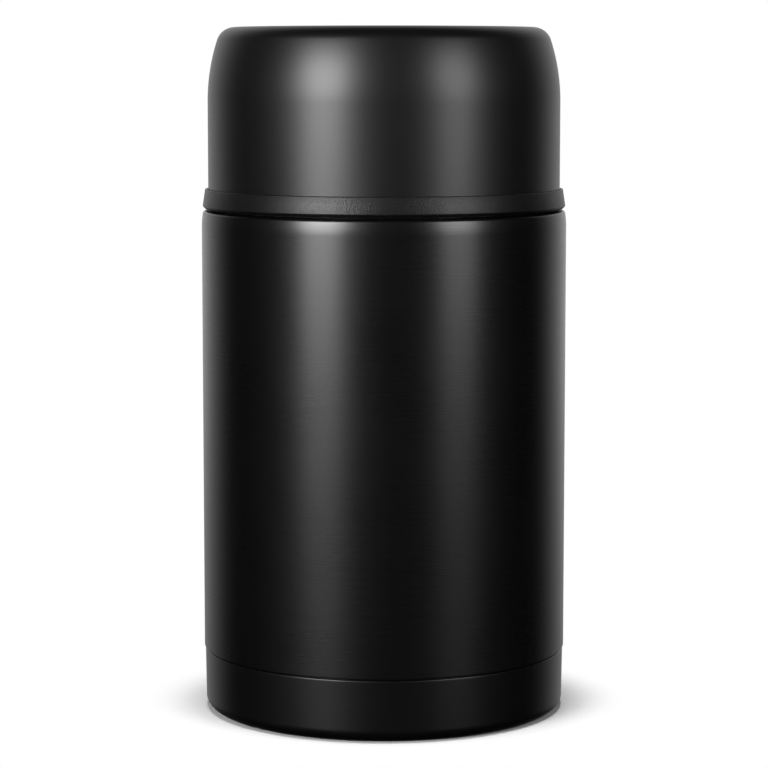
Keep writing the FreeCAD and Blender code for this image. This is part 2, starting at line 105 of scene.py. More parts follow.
class Graph:
    """The node tree of a material or of the world, built one call at a time."""

    def __init__(self, owner: bpy.types.ID) -> None:
        """Starts an empty tree.

        Args:
            owner: The material or the world that the tree belongs to.
        """
        owner.use_nodes = True
        self.tree = owner.node_tree
        self.tree.nodes.clear()

    def node(self, kind: str, settings: Mapping[str, Any], inputs: Mapping[Any, Any]) -> bpy.types.Node:
        """Adds a node.

        Args:
            kind: The node's type.
            settings: Properties of the node, set before its sockets.
            inputs: Values, sockets or Values, by socket name or number.

        Returns:
            The new node.
        """
        node = self.tree.nodes.new(kind)
        for name, setting in settings.items():
            setattr(node, name, setting)
        for key, given in inputs.items():
            source = given.socket if isinstance(given, Value) else given
            if isinstance(source, bpy.types.NodeSocket):
                self.tree.links.new(source, node.inputs[key])
            else:
                node.inputs[key].default_value = source
        return node

    def value(
        self, kind: str, settings: Mapping[str, Any], inputs: Mapping[Any, Any], output: int | str = 0
    ) -> Value:
        """Adds a node and wraps one of its outputs.

        Args:
            kind: The node's type.
            settings: Properties of the node.
            inputs: Values or links of its sockets.
            output: Name or number of the output.

        Returns:
            The wrapped output.
        """
        return Value(self, self.node(kind, settings, inputs).outputs[output])

    def colour(self, low: Colour, high: Colour, share: Value) -> bpy.types.NodeSocket:
        """Mixes two colours.

        Args:
            low: Colour at share 0.
            high: Colour at share 1.
            share: How far towards high.

        Returns:
            The colour's socket.
        """
        mix = self.node("ShaderNodeMix", {"data_type": "RGBA"}, {0: share, 6: (*low, 1.0), 7: (*high, 1.0)})
        return mix.outputs[2]

    def place(self) -> bpy.types.NodeSocket:
        """The point on the piece, in the jar's own frame."""
        return self.node("ShaderNodeTexCoord", {}, {}).outputs["Object"]

    def scaled_place(self, scale: Grains) -> bpy.types.NodeSocket:
        """The point on the piece, scaled along each axis."""
        return self.node("ShaderNodeMapping", {}, {"Vector": self.place(), "Scale": scale}).outputs[0]

    def noise(self, grains: float | Grains, detail: float, roughness: float = 0.5) -> Value:
        """A noise over the piece.

        Args:
            grains: Grains per metre, one number for all ways or one for each axis.
            detail: Octaves.
            roughness: Share of the finer octaves.

        Returns:
            The noise, about 0 to 1.
        """
        scale = grains if isinstance(grains, tuple) else (grains, grains, grains)
        point = self.scaled_place(scale)
        sockets = {"Vector": point, "Scale": 1.0, "Detail": detail, "Roughness": roughness}
        return self.value("ShaderNodeTexNoise", {"noise_dimensions": "3D"}, sockets, "Fac")

    def measure(self, operation: str, inputs: Mapping[int, Any]) -> Value:
        """The number that a Vector Math node gives."""
        return self.value("ShaderNodeVectorMath", {"operation": operation}, inputs, "Value")

    def along(self, axis: str, vector: bpy.types.NodeSocket) -> Value:
        """How far a vector goes along an axis."""
        return self.value("ShaderNodeSeparateXYZ", {}, {0: vector}, axis)

    def remap(
        self, number: Value, low: float, high: float, start: float = 0.0, end: float | Value = 1.0
    ) -> Value:
        """A number spread smoothly from one range to another.

        Args:
            number: The number.
            low: Where the old range starts.
            high: Where it ends.
            start: What low becomes.
            end: What high becomes.

        Returns:
            The new number.
        """
        sockets = {"Value": number, "From Min": low, "From Max": high, "To Min": start, "To Max": end}
        return self.value("ShaderNodeMapRange", {"interpolation_type": "SMOOTHSTEP"}, sockets)

    def bump(self, height: Value, distance: float, strength: float) -> bpy.types.NodeSocket:
        """A bumped normal.

        Args:
            height: Height from 0 to 1.
            distance: Real height of 1, in metres.
            strength: Share of the bump.

        Returns:
            The normal's socket.
        """
        sockets = {"Height": height, "Distance": distance, "Strength": strength}
        return self.node("ShaderNodeBump", {}, sockets).outputs["Normal"]

    def mix(
        self, share: Value | bpy.types.NodeSocket, first: bpy.types.NodeSocket, second: bpy.types.NodeSocket
    ) -> bpy.types.NodeSocket:
        """Mixes two shaders, with only the second at share 1."""
        return self.node("ShaderNodeMixShader", {}, {0: share, 1: first, 2: second}).outputs[0]

    def glow(self, strength: float | Value) -> bpy.types.NodeSocket:
        """A white surface that gives light of this strength."""
        return self.node("ShaderNodeEmission", {}, {"Strength": strength}).outputs[0]

    def surface(self, shader: bpy.types.NodeSocket, output: str = "ShaderNodeOutputMaterial") -> None:
        """Ends the tree with a shader."""
        self.node(output, {}, {"Surface": shader})

    def principled(self, inputs: Mapping[str, Any]) -> None:
        """Ends a material's tree with a Principled shader."""
        self.surface(self.node("ShaderNodeBsdfPrincipled", {}, inputs).outputs[0])


def new_material(name: str) -> tuple[bpy.types.Material, Graph]:
    """An empty material and its graph."""
    material = bpy.data.materials.new(name)
    return material, Graph(material)


def tinted(tone: float, tint: Colour) -> Colour:
    """A tint made darker or lighter by tone."""
    return (tone * tint[0], tone * tint[1], tone * tint[2])


# Finishes


@dataclass(frozen=True)
class SatinCoat:
    """Satin black coating over steel that was brushed round the axis, so fine level lines show through."""

    name: str
    tone: float = 0.001
    low_tint: Colour = (0.8, 0.8, 0.82)
    high_tint: Colour = (1.3, 1.3, 1.34)
    roughness: float = 0.28
    ior: float = 1.5
    lines_per_metre: float = 3600.0
    breaks_per_metre: float = 26.0  # along a line
    line_depth: float = 0.008 * MM
    line_strength: float = 0.16
    speck_grains: float = 9000.0
    speck_share: float = 0.15
    gloss_spread: float = 0.05
    cloud_grains: Grains = (70.0, 70.0, 40.0)
    cloud_spread: float = 0.04

    def make(self) -> bpy.types.Material:
        """Makes the coating.

        Returns:
            The material.
        """
        material, graph = new_material(self.name)
        run = self.breaks_per_metre
        lines = graph.noise((run, run, self.lines_per_metre), detail=3.0, roughness=0.65)
        cloud = graph.noise(self.cloud_grains, detail=2.0)
        speck = graph.noise(self.speck_grains, detail=1.0)
        low = tinted(self.tone, self.low_tint)
        high = tinted(self.tone, self.high_tint)
        rough = self.roughness + lines.swing(self.gloss_spread) + cloud.swing(self.cloud_spread)
        height = lines * (1.0 - self.speck_share) + speck * self.speck_share
        graph.principled(
            {
                "Base Color": graph.colour(low, high, lines),
                "Roughness": rough,
                "Metallic": 0.0,
                "IOR": self.ior,
                "Normal": graph.bump(height, self.line_depth, self.line_strength),
            }
        )
        return material


@dataclass(frozen=True)
class GrainedPlastic:
    """Black moulded plastic with a fine leathery grain."""

    name: str
    tone: float = 0.0015
    low_tint: Colour = (0.75, 0.75, 0.77)
    high_tint: Colour = (1.4, 1.4, 1.45)
    roughness: float = 0.4
    ior: float = 1.41
    grain_per_metre: float = 2600.0
    grain_blur: float = 0.6
    grain_depth: float = 0.05 * MM
    grain_strength: float = 0.9
    gloss_spread: float = 0.12
    cloud_grains: float = 160.0
    cloud_spread: float = 0.08

    def make(self) -> bpy.types.Material:
        """Makes the plastic.

        Returns:
            The material.
        """
        material, graph = new_material(self.name)
        grain = self.grain_per_metre
        point = graph.scaled_place((grain, grain, grain))
        sockets = {"Vector": point, "Scale": 1.0, "Smoothness": self.grain_blur}
        cells = graph.value("ShaderNodeTexVoronoi", {"feature": "SMOOTH_F1"}, sockets, "Distance")
        cloud = graph.noise(self.cloud_grains, detail=3.0)
        low = tinted(self.tone, self.low_tint)
        high = tinted(self.tone, self.high_tint)
        rough = self.roughness + cells.swing(self.gloss_spread) + cloud.swing(self.cloud_spread)
        graph.principled(
            {
                "Base Color": graph.colour(low, high, cells),
                "Roughness": rough,
                "IOR": self.ior,
                "Normal": graph.bump(cells, self.grain_depth, self.grain_strength),
            }
        )
        return material


class Brushing(Enum):
    """Which way the fine lines of a bare steel surface run."""

    ROUND_THE_WALL = "level lines round an upright wall"
    RINGS = "rings on a flat or dished face"
    DULL = "no lines, only a dull sheet"


@dataclass(frozen=True)
class BareSteel:
    """Bare metal, mostly stainless steel, with the marks of its drawing or turning."""

    name: str
    brushing: Brushing = Brushing.ROUND_THE_WALL
    colour: Colour = (0.56, 0.55, 0.53)
    roughness: float = 0.28
    lines_per_metre: float = 2600.0
    breaks_per_metre: float = 30.0  # along a line
    line_tone: float = 0.86
    line_depth: float = 0.01 * MM
    line_strength: float = 0.3
    gloss_spread: float = 0.16
    dull_grains: float = 400.0
    cloud_grains: float = 55.0
    cloud_spread: float = 0.08

    def _lines(self, graph: Graph) -> Value:
        """The pattern of the fine lines.

        Args:
            graph: The material's tree.

        Returns:
            The pattern, about 0 to 1.
        """
        if self.brushing is Brushing.ROUND_THE_WALL:
            run = self.breaks_per_metre
            return graph.noise((run, run, self.lines_per_metre), detail=3.0, roughness=0.6)
        if self.brushing is Brushing.RINGS:
            flat = graph.scaled_place((1.0, 1.0, 0.0))
            radius = graph.measure("LENGTH", {0: flat})
            sockets = {"W": radius * self.lines_per_metre, "Scale": 1.0, "Detail": 3.0}
            return graph.value("ShaderNodeTexNoise", {"noise_dimensions": "1D"}, sockets, "Fac")
        return graph.noise(self.dull_grains, detail=3.0, roughness=0.6)

    def make(self) -> bpy.types.Material:
        """Makes the metal.

        Returns:
            The material.
        """
        material, graph = new_material(self.name)
        lines = self._lines(graph)
        cloud = graph.noise(self.cloud_grains, detail=3.0)
        rough = self.roughness + lines.swing(self.gloss_spread) + cloud.swing(self.cloud_spread)
        graph.principled(
            {
                "Base Color": graph.colour(tinted(self.line_tone, self.colour), self.colour, lines),
                "Roughness": rough,
                "Metallic": 1.0,
                "Normal": graph.bump(lines, self.line_depth, self.line_strength),
            }
        )
        return material


@dataclass(frozen=True)
class Silicone:
    """Moulded silicone with a soft, slightly dusty skin."""

    name: str
    colour: Colour = (0.012, 0.012, 0.012)
    roughness: float = 0.55
    ior: float = 1.41
    dust_grains: float = 900.0
    dust_gain: float = 1.15
    dust_lift: float = 0.004
    dust_depth: float = 0.01 * MM
    dust_strength: float = 0.3
    cloud_grains: float = 90.0
    cloud_spread: float = 0.15

    def make(self) -> bpy.types.Material:
        """Makes the silicone.

        Returns:
            The material.
        """
        material, graph = new_material(self.name)
        dust = graph.noise(self.dust_grains, detail=4.0, roughness=0.6)
        cloud = graph.noise(self.cloud_grains, detail=2.0)
        red, green, blue = tinted(self.dust_gain, self.colour)
        dusty = (red + self.dust_lift, green + self.dust_lift, blue + self.dust_lift)
        graph.principled(
            {
                "Base Color": graph.colour(self.colour, dusty, dust),
                "Roughness": self.roughness + cloud.swing(self.cloud_spread),
                "IOR": self.ior,
                "Normal": graph.bump(dust, self.dust_depth, self.dust_strength),
            }
        )
        return material


# Modelling by operators


def arc(centre: Point, radius: float, start: float, end: float, steps: int) -> list[Point]:
    """Points along an arc of an outline.

    Args:
        centre: Distance from the axis and height of the arc's centre.
        radius: The arc's radius.
        start: Angle of its first point, from level outwards.
        end: Angle of its last point.
        steps: Facets along it.

    Returns:
        The points, both ends included.
    """
    angles = [math.radians(start + (end - start) * step / steps) for step in range(steps + 1)]
    return [(centre[0] + radius * math.cos(angle), centre[1] + radius * math.sin(angle)) for angle in angles]


def clear_selection() -> None:
    """Deselects every object."""
    if bpy.context.mode != "OBJECT":
        bpy.ops.object.mode_set(mode="OBJECT")
    bpy.ops.object.select_all(action="DESELECT")


def pick(piece: bpy.types.Object) -> None:
    """Makes a piece the only one that operators act on.

    Args:
        piece: The object.
    """
    clear_selection()
    piece.select_set(True)
    bpy.context.view_layer.objects.active = piece


def settle(piece: bpy.types.Object) -> None:
    """Puts a piece's place, turn and scale into its mesh."""
    pick(piece)
    bpy.ops.object.transform_apply(location=True, rotation=True, scale=True)


def apply_modifier(piece: bpy.types.Object, kind: str, settings: Mapping[str, Any]) -> None:
    """Adds a modifier and applies it.

    Args:
        piece: The object.
        kind: The modifier's type.
        settings: Its properties.
    """
    pick(piece)
    bpy.ops.object.modifier_add(type=kind)
    modifier = piece.modifiers[-1]
    for name, setting in settings.items():
        setattr(modifier, name, setting)
    bpy.ops.object.modifier_apply(modifier=modifier.name)


def smooth(piece: bpy.types.Object, limit: float = 30.0) -> None:
    """Shades a piece smooth across edges that turn by less than limit degrees."""
    pick(piece)
    bpy.ops.object.shade_smooth_by_angle(angle=math.radians(limit))


def ease_edges(piece: bpy.types.Object, width: float, segments: int = 3, limit: float = 32.0) -> None:
    """Rounds the sharp edges of a piece.

    Args:
        piece: The object.
        width: Width of each round.
        segments: Facets across it.
        limit: Edges that turn by more than this are rounded, in degrees.
    """
    settings = {
        "width": width,
        "segments": segments,
        "limit_method": "ANGLE",
        "angle_limit": math.radians(limit),
        "use_clamp_overlap": True,
    }
    apply_modifier(piece, "BEVEL", settings)


def close_mesh(piece: bpy.types.Object) -> None:
    """Merges doubled points and turns all faces outwards.

    Args:
        piece: The object.
    """
    pick(piece)
    bpy.ops.object.mode_set(mode="EDIT")
    bpy.ops.mesh.select_all(action="SELECT")
    bpy.ops.mesh.remove_doubles(threshold=MERGE)
    bpy.ops.mesh.normals_make_consistent(inside=False)
    bpy.ops.object.mode_set(mode="OBJECT")


def turn_piece(name: str, outline: Sequence[Point], facets: int = RING) -> bpy.types.Object:
    """A turned piece: one ring of edges, extruded and scaled from point to point of its outline.

    Args:
        name: The piece's name.
        outline: Radius and height of each corner. It starts and ends on the axis, or closes on itself.
        facets: Facets round the axis.

    Returns:
        The closed mesh object.
    """
    points = list(outline)
    on_axis = points[0][0] == 0.0
    if on_axis:
        points = points[1:]
    else:
        points.append(points[0])
    fill = "TRIFAN" if on_axis else "NOTHING"
    radius, height = points[0]
    start = (0.0, 0.0, height)
    clear_selection()
    bpy.ops.mesh.primitive_circle_add(vertices=facets, radius=radius, fill_type=fill, location=start)
    piece = bpy.context.object
    piece.name = name
    settle(piece)
    bpy.ops.object.mode_set(mode="EDIT")
    bpy.ops.mesh.select_mode(type="EDGE")
    bpy.ops.mesh.select_all(action="SELECT")
    if on_axis:
        bpy.ops.mesh.region_to_loop()
    for next_radius, next_height in points[1:]:
        bpy.ops.mesh.extrude_edges_move(TRANSFORM_OT_translate={"value": (0.0, 0.0, next_height - height)})
        if next_radius == 0.0:
            bpy.ops.mesh.merge(type="CENTER")
            break
        share = next_radius / radius
        bpy.ops.transform.resize(value=(share, share, 1.0), center_override=(0.0, 0.0, next_height))
        radius, height = next_radius, next_height
    bpy.ops.object.mode_set(mode="OBJECT")
    close_mesh(piece)
    return piece


def join(pieces: Sequence[bpy.types.Object], name: str) -> bpy.types.Object:
    """Joins pieces into the first.

    Args:
        pieces: The objects.
        name: The name of the whole.

    Returns:
        The first object, which is now the whole.
    """
    pick(pieces[0])
    for piece in pieces[1:]:
        piece.select_set(True)
    bpy.ops.object.join()
    pieces[0].name = name
    return pieces[0]


def turned_copies(piece: bpy.types.Object, count: int) -> list[bpy.types.Object]:
    """Copies a piece evenly round the axis, each copy with its own mesh.

    Args:
        piece: The object.
        count: How many there are in the end.

    Returns:
        The piece and its copies.
    """
    pieces = [piece]
    for index in range(1, count):
        pick(piece)
        bpy.ops.object.duplicate()
        twin = bpy.context.object
        twin.rotation_euler = (0.0, 0.0, math.tau * index / count)
        settle(twin)
        pieces.append(twin)
    return pieces


def finish(
    piece: bpy.types.Object, body: str, material: bpy.types.Material, nodes: Iterable[str] = ()
) -> None:
    """Dresses a piece, hangs it on its body and reports it.

    Args:
        piece: The object.
        body: The CAD body that it rides on.
        material: Its material.
        nodes: CAD nodes that it stands for.
    """
    piece.data.materials.clear()
    piece.data.materials.append(material)
    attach(piece, body)
    if nodes:
        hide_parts(*nodes)
    LOG.info("%s rides on %s: %d faces", piece.name, body, len(piece.data.polygons))


def dress_node(node: str, material: bpy.types.Material) -> None:
    """Gives a CAD node that keeps its shape its material.

    Args:
        node: The node's name.
        material: Its material.
    """
    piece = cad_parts[node]
    for slot in piece.material_slots:
        slot.material = material
    LOG.info("%s keeps its shape", node)


# The screw thread


@dataclass(frozen=True)
class Thread:
    """Three alike helical ridges on a round wall, climbing anticlockwise as seen from above."""

    name: str
    wall: float  # radius of the wall that the ridges stand on, inwards or outwards
    foot: float  # height at which each ridge starts
    climb: float = 3.7 * MM
    depth: float = 1.2 * MM
    half_width: float = 1.1 * MM
    edge_round: float = 0.25 * MM
    lead: float = 12.0 * MM
    starts: int = 3
    steps: int = 40

    def build(self) -> bpy.types.Object:
        """Sweeps a diamond, half of it in the wall, along a screw, and copies the ridge for each start.

        Returns:
            The ridges as one object.
        """
        clear_selection()
        upright = (math.pi / 2, 0.0, 0.0)
        bpy.ops.mesh.primitive_circle_add(vertices=4, radius=1.0, fill_type="NOTHING", rotation=upright)
        ridge = bpy.context.object
        ridge.scale = (self.depth, self.half_width, 1.0)
        ridge.location = (self.wall, 0.0, self.foot)
        settle(ridge)
        settings = {
            "axis": "Z",
            "angle": math.tau * self.climb / self.lead,
            "screw_offset": self.climb,
            "steps": self.steps,
            "render_steps": self.steps,
            "use_merge_vertices": False,
        }
        apply_modifier(ridge, "SCREW", settings)
        bpy.ops.object.mode_set(mode="EDIT")
        bpy.ops.mesh.select_mode(type="EDGE")
        bpy.ops.mesh.select_all(action="DESELECT")
        bpy.ops.mesh.select_non_manifold()
        bpy.ops.mesh.fill()
        bpy.ops.object.mode_set(mode="OBJECT")
        close_mesh(ridge)
        ease_edges(ridge, self.edge_round, segments=2)
        ridges = join(turned_copies(ridge, self.starts), self.name)
        smooth(ridges)
        return ridges


# The jar's body


@dataclass
class Body:
    """The painted outer skin, the base cup and the steel liner, all on the jar's body."""

    radius: float = 55.0 * MM
    shoulder: float = 151.6 * MM
    shoulder_round: float = 1.0 * MM
    lean_angle: float = 9.0  # how far the wall leans in just under the shoulder's round
    lean_length: float = 4.0 * MM
    seam: float = 18.7 * MM
    seam_edge: float = 0.3 * MM
    foot_radius: float = 53.9 * MM  # the skin where the base cup is pressed over it
    foot: float = 6.0 * MM  # where the skin ends inside the base cup
    wall: float = 0.5 * MM
    neck: float = 47.5 * MM
    lip: float = 168.0 * MM
    lip_edge: float = 0.12 * MM
    neck_thread_rise: float = 6.0 * MM  # from the shoulder to the foot of the cup's thread
    base_radius: float = 54.7 * MM
    base_taper: float = 0.2 * MM
    base_round: float = 3.5 * MM
    base_top: float = 18.4 * MM
    base_edge: float = 0.25 * MM
    foot_width: float = 5.5 * MM
    recess: float = 1.2 * MM
    liner_bore: float = 49.6 * MM
    liner_wall: float = 0.4 * MM
    liner_floor: float = 14.0 * MM
    liner_round: float = 8.0 * MM
    mouth: float = 44.0 * MM
    mouth_foot: float = 150.0 * MM
    mouth_thread_drop: float = 12.0 * MM  # from the lip to the foot of the stopper's thread
    liner_top: float = 143.0 * MM
    body: str = "jar"

    def _shoulder_line(self) -> list[Point]:
        """The wall's slight lean-in near its top and the round above it.

        Returns:
            That part of the skin's outline, upwards.
        """
        top = self.shoulder - self.shoulder_round
        lean = math.radians(self.lean_angle)
        bow = self.lean_length / math.sin(lean)
        rise = arc((self.radius - bow, top - self.lean_length), bow, 0.0, self.lean_angle, steps=8)
        reach = self.radius - bow * (1.0 - math.cos(lean)) - self.shoulder_round * math.cos(lean)
        centre = (reach, top - self.shoulder_round * math.sin(lean))
        return rise + arc(centre, self.shoulder_round, self.lean_angle, 90.0, steps=10)[1:]

    def skin(self) -> None:
        """The painted skin, from the step inside the base cup to the foot of the neck."""
        inside = self.radius - self.wall
        top = self.shoulder - self.shoulder_round
        edge = self.seam_edge
        outline = [(self.foot_radius - self.wall, self.foot), (self.foot_radius, self.foot)]
        outline += [(self.foot_radius, self.seam)]
        outline += arc((self.radius - edge, self.seam + edge), edge, -90.0, 0.0, steps=6)
        outline += [(self.radius, self.seam + edge + HOLD)]
        outline += self._shoulder_line()
        outline += [(self.neck, self.shoulder), (self.neck, self.shoulder - self.wall)]
        outline += [(inside - self.shoulder_round, self.shoulder - self.wall), (inside, top - self.wall)]
        outline += [(inside, self.seam + self.wall), (self.foot_radius - self.wall, self.seam + self.wall)]
        piece = turn_piece("body_skin", outline)
        smooth(piece)
        finish(piece, self.body, SatinCoat("satin_black_body").make(), ["outer_shell"])

    def neck_tube(self) -> None:
        """The bare steel neck above the shoulder, and the thread for the cup."""
        steel = BareSteel("steel_neck").make()
        inside = self.neck - self.wall
        low = self.shoulder - self.wall
        high = self.lip - self.liner_wall
        outline = [(inside, low), (self.neck, low), (self.neck, high), (inside, high)]
        tube = turn_piece("neck_tube", outline)
        smooth(tube)
        finish(tube, self.body, steel)
        thread = Thread("neck_thread", self.neck, self.shoulder + self.neck_thread_rise).build()
        finish(thread, self.body, steel)

    def base(self) -> None:
        """The painted base cup, rounded under to the ring that it stands on."""
        outer = self.base_radius - self.base_taper - self.base_round
        inner = outer - self.foot_width
        outline = [(0.0, self.recess), (inner - self.recess, self.recess), (inner, 0.0), (outer, 0.0)]
        outline += arc((outer, self.base_round), self.base_round, -90.0, 0.0, steps=12)[1:]
        outline += [(outer + self.base_round, self.base_round + HOLD)]
        edge = self.base_edge
        outline += [(self.base_radius, self.base_top - edge - HOLD)]
        outline += arc((self.base_radius - edge, self.base_top - edge), edge, 0.0, 90.0, steps=5)
        outline += [(self.base_radius - self.wall, self.base_top)]
        outline += [(outer + self.base_round - self.wall, self.base_round), (outer, self.wall)]
        outline += [(inner, self.wall), (inner - self.recess, self.recess + self.wall)]
        outline += [(0.0, self.recess + self.wall)]
        piece = turn_piece("base_skin", outline)
        smooth(piece)
        coat = SatinCoat("satin_black_base", roughness=0.3)
        finish(piece, self.body, coat.make(), ["base_cup"])

    def liner(self) -> None:
        """The bare steel liner, with its lip rolled over the neck and the thread for the stopper."""
        wall = self.liner_wall
        under = self.lip - wall
        bend = (self.liner_bore - self.liner_round, self.liner_floor + self.liner_round)
        outline = [(0.0, self.liner_floor - wall)]
        outline += arc(bend, self.liner_round + wall, -90.0, 0.0, steps=10)
        outline += [(self.liner_bore + wall, self.liner_top), (self.mouth + wall, self.mouth_foot)]
        outline += [(self.mouth + wall, under), (self.neck, under), (self.neck, self.lip)]
        outline += [(self.mouth, self.lip), (self.mouth, self.mouth_foot), (self.liner_bore, self.liner_top)]
        outline += arc(bend, self.liner_round, 0.0, -90.0, steps=10) + [(0.0, self.liner_floor)]
        piece = turn_piece("liner_pot", outline)
        ease_edges(piece, self.lip_edge, segments=2)
        smooth(piece)
        steel = BareSteel("steel_liner").make()
        finish(piece, self.body, steel, ["inner_liner"])
        thread = Thread("mouth_thread", self.mouth, self.lip - self.mouth_thread_drop).build()
        finish(thread, self.body, steel)

    def hidden(self) -> None:
        """The fittings of the vacuum space, which keep their solids."""
        dress_node("vacuum_plate", BareSteel("steel_plate", Brushing.RINGS, roughness=0.35).make())
        bead = BareSteel("bead_metal", Brushing.DULL, colour=(0.6, 0.56, 0.47), roughness=0.4)
        dress_node("seal_bead", bead.make())
        pill = BareSteel("getter_metal", Brushing.DULL, colour=(0.3, 0.3, 0.31), roughness=0.6)
        dress_node("getter", pill.make())
        dress_node("getter_clip", BareSteel("clip_steel", Brushing.DULL, roughness=0.3).make())

    def build(self) -> None:
        """Builds the whole body."""
        self.skin()
        self.neck_tube()
        self.base()
        self.liner()
        self.hidden()


# The cup that closes the jar


@dataclass
class Cup:
    """The double-walled steel cup and the moulded collar that carries its thread."""

    radius: float = 53.0 * MM
    wall: float = 0.5 * MM
    foot: float = 154.3 * MM
    crown: float = 206.2 * MM
    dome_height: float = 22.2 * MM
    dome_radius: float = 59.0 * MM
    corner: float = 5.5 * MM
    bowl_gap: float = 1.1 * MM
    bowl_wall: float = 0.4 * MM
    bowl_headroom: float = 3.3 * MM
    bowl_round: float = 8.0 * MM
    collar_foot: float = 152.0 * MM
    collar_top: float = 157.9 * MM
    collar_rim: float = 54.7 * MM
    collar_flare: float = 0.75 * MM
    collar_edge: float = 0.8 * MM
    collar_bore: float = 49.3 * MM
    skirt_wall: float = 1.6 * MM
    skirt_top: float = 165.0 * MM
    collar_edge_round: float = 0.22 * MM
    lug_foot: float = 156.7 * MM
    slot_foot: float = 154.2 * MM
    slot_wall: float = 53.1 * MM
    rebate: float = 51.7 * MM
    rebate_top: float = 153.2 * MM
    body: str = "cup"

    def _dome(self, radius: float, corner: float, crown: float, steps: int) -> list[Point]:
        """The crown's outline: a long arc up from the wall, then a tight corner to the flat top.

        Args:
            radius: Radius of the long arc.
            corner: Radius of the corner.
            crown: Height of the flat top.
            steps: Facets along each of the two arcs.

        Returns:
            The outline, upwards.
        """
        start = self.crown - self.dome_height
        centre = self.radius - self.dome_radius
        reach = radius - corner
        lean = math.degrees(math.asin((crown - corner - start) / reach))
        corner_centre = (centre + reach * math.cos(math.radians(lean)), crown - corner)
        side = arc((centre, start), radius, 0.0, lean, steps)
        return side[:-1] + arc(corner_centre, corner, lean, 90.0, steps)

    def skin(self) -> None:
        """The painted outer skin of the cup."""
        wall = self.wall
        inside = self._dome(self.dome_radius - wall, self.corner - wall, self.crown - wall, steps=12)
        outline = [(0.0, self.crown - wall)] + inside[::-1]
        outline += [(self.radius - wall, self.foot), (self.radius, self.foot)]
        outline += self._dome(self.dome_radius, self.corner, self.crown, steps=14) + [(0.0, self.crown)]
        piece = turn_piece("cup_skin", outline)
        smooth(piece)
        coat = SatinCoat("satin_black_cup", roughness=0.37, line_strength=0.12, gloss_spread=0.03)
        finish(piece, self.body, coat.make(), ["cup_shell"])

    def bowl(self) -> None:
        """The bare steel bowl inside."""
        outer = self.radius - self.wall - self.bowl_gap
        bore = outer - self.bowl_wall
        top = self.crown - self.wall - self.bowl_headroom
        bend = (bore - self.bowl_round, top - self.bowl_wall - self.bowl_round)
        outline = [(0.0, top)] + arc(bend, self.bowl_round + self.bowl_wall, 90.0, 0.0, steps=10)
        outline += [(outer, self.foot), (bore, self.foot)]
        outline += arc(bend, self.bowl_round, 0.0, 90.0, steps=10) + [(0.0, top - self.bowl_wall)]
        piece = turn_piece("cup_bowl_skin", outline)
        smooth(piece)
        finish(piece, self.body, BareSteel("steel_bowl").make(), ["cup_bowl"])

    def collar(self) -> None:
        """The moulded collar, with the lugs that ride under the neck's thread."""
        top_radius = self.collar_rim - self.collar_flare
        skirt = self.collar_bore + self.skirt_wall
        outline = [(self.collar_bore, self.rebate_top), (self.rebate, self.rebate_top)]
        outline += [(self.rebate, self.collar_foot), (self.collar_rim - self.collar_edge, self.collar_foot)]
        outline += [(self.collar_rim, self.collar_foot + self.collar_edge), (top_radius, self.collar_top)]
        outline += [(self.slot_wall, self.collar_top), (self.slot_wall, self.slot_foot)]
        outline += [(skirt, self.slot_foot), (skirt, self.skirt_top), (self.collar_bore, self.skirt_top)]
        piece = turn_piece("collar_band", outline)
        ease_edges(piece, self.collar_edge_round, limit=20.0)
        smooth(piece)
        plastic = GrainedPlastic("collar_plastic").make()
        finish(piece, self.body, plastic, ["cup_collar"])
        lugs = Thread("collar_lugs", self.collar_bore, self.lug_foot, LUG_CLIMB, steps=LUG_STEPS).build()
        finish(lugs, self.body, plastic)

    def build(self) -> None:
        """Builds the cup and dresses its seal."""
        self.skin()
        self.bowl()
        self.collar()
        dress_node("cup_gasket", Silicone("black_gasket").make())


# The stopper


